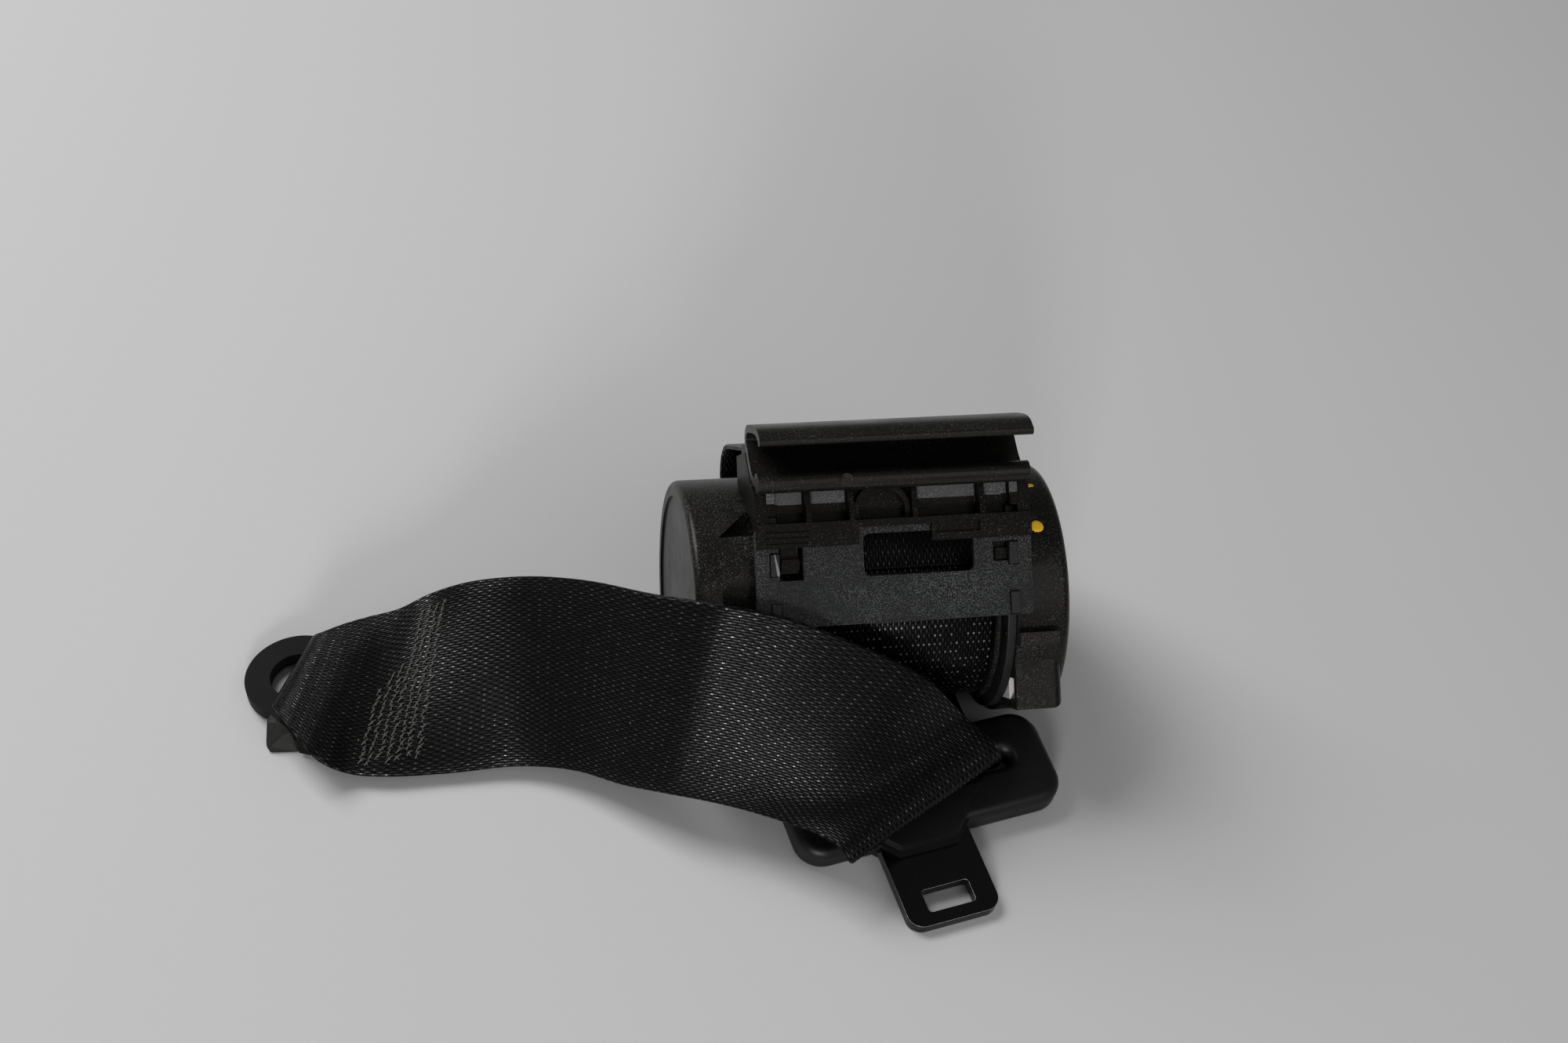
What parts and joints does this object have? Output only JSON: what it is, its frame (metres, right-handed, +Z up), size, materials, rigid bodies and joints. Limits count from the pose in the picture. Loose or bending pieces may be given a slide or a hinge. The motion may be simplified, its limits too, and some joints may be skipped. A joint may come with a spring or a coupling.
{
  "type": "seat belt",
  "caption": "Car seat belt: locking retractor with webbing, latch tongue and end anchor plate, lying as on a table",
  "frame": {"origin": "middle of the footprint of the whole belt, on the surface it lies on", "axes": "+X along the retractor's spool axis, from the spring cap to the sensor cap; +Y from the tongue's blade towards the rear; +Z up"},
  "size_m": [0.1832, 0.1364, 0.0827],
  "materials": {
    "webbing": "woven black polyester, satin",
    "steel_plate": "dark phosphated sheet steel, fine speckle",
    "steel_frame": "dark coated pressed steel",
    "black_moulding": "fine textured black plastic",
    "grey_moulding": "dark grey satin plastic",
    "cap_plastic": "satin black plastic",
    "label_paper": "blank grey label",
    "bright_steel": "machined steel",
    "spring_steel": "blued spring steel",
    "white_plastic": "natural acetal",
    "tongue_steel": "dull zinc plated steel",
    "anchor_steel": "grey zinc plated steel"
  },
  "bodies": {
    "root": {"frame": "steel_frame", "tie_plate": "steel_plate", "guide_body": "black_moulding", "guide_channel": "grey_moulding", "labels": "label_paper", "spring_cover": "cap_plastic", "sensor_cover": "cap_plastic", "spring_case": "black_moulding", "return_spring": "spring_steel", "left_bush": "white_plastic", "right_bush": "white_plastic", "sensor_housing": "white_plastic", "webbing_upper_run": "webbing", "webbing_lower_run": "webbing", "webbing_arch": "webbing", "webbing_anchor_loop": "webbing"},
    "spool_body": {"spool": "black_moulding", "webbing_roll": "webbing", "torsion_bar": "bright_steel", "lock_head": "bright_steel", "spring_arbor": "white_plastic"},
    "pawl_body": {"locking_pawl": "bright_steel"},
    "gear_body": {"lock_gear": "white_plastic"},
    "ball_body": {"sensor_ball": "bright_steel"},
    "lever_body": {"sensor_lever": "white_plastic"},
    "tongue_body": {"tongue_cover": "black_moulding", "tongue_plate": "tongue_steel"},
    "anchor_body": {"anchor_plate": "anchor_steel"}
  },
  "joints": [
    {"name": "spool_spin", "type": "hinge", "parent": "root", "child": "spool_body", "pos_m": [0.05081, 0.00627, 0.0285], "axis": [1, 0, 0], "continuous": true},
    {"name": "lock_gear_turn", "type": "hinge", "parent": "spool_body", "child": "gear_body", "pos_m": [0.08261, 0.00627, 0.0285], "axis": [1, 0, 0], "range_deg": [-15, 0]},
    {"name": "pawl_swing", "type": "hinge", "parent": "spool_body", "child": "pawl_body", "pos_m": [0.07971, 0.01417, 0.03587], "axis": [1, 0, 0], "range_deg": [0, 18]},
    {"name": "sensor_ball_lift", "type": "slide", "parent": "root", "child": "ball_body", "axis": [0, 0.7314, 0.682], "range_m": [0, 0.00035]},
    {"name": "sensor_lever_turn", "type": "hinge", "parent": "root", "child": "lever_body", "pos_m": [0.08261, -0.01496, 0.03221], "axis": [1, 0, 0], "range_deg": [0, 4]},
    {"name": "tongue_tilt", "type": "hinge", "parent": "root", "child": "tongue_body", "pos_m": [0.05491, -0.02693, 0.0061], "axis": [-0.9799, -0.1994, 0], "range_deg": [0, 9]},
    {"name": "anchor_swing", "type": "hinge", "parent": "root", "child": "anchor_body", "pos_m": [-0.06531, 0.0045, 0.0057], "axis": [0.4415, 0.8973, 0], "range_deg": [-60, 0]}
  ],
  "couplings": [
    {"joint": "pawl_swing", "follows": "lock_gear_turn", "ratio": -1.2},
    {"joint": "sensor_lever_turn", "follows": "sensor_ball_lift", "rad_per_m": 192.3}
  ]
}
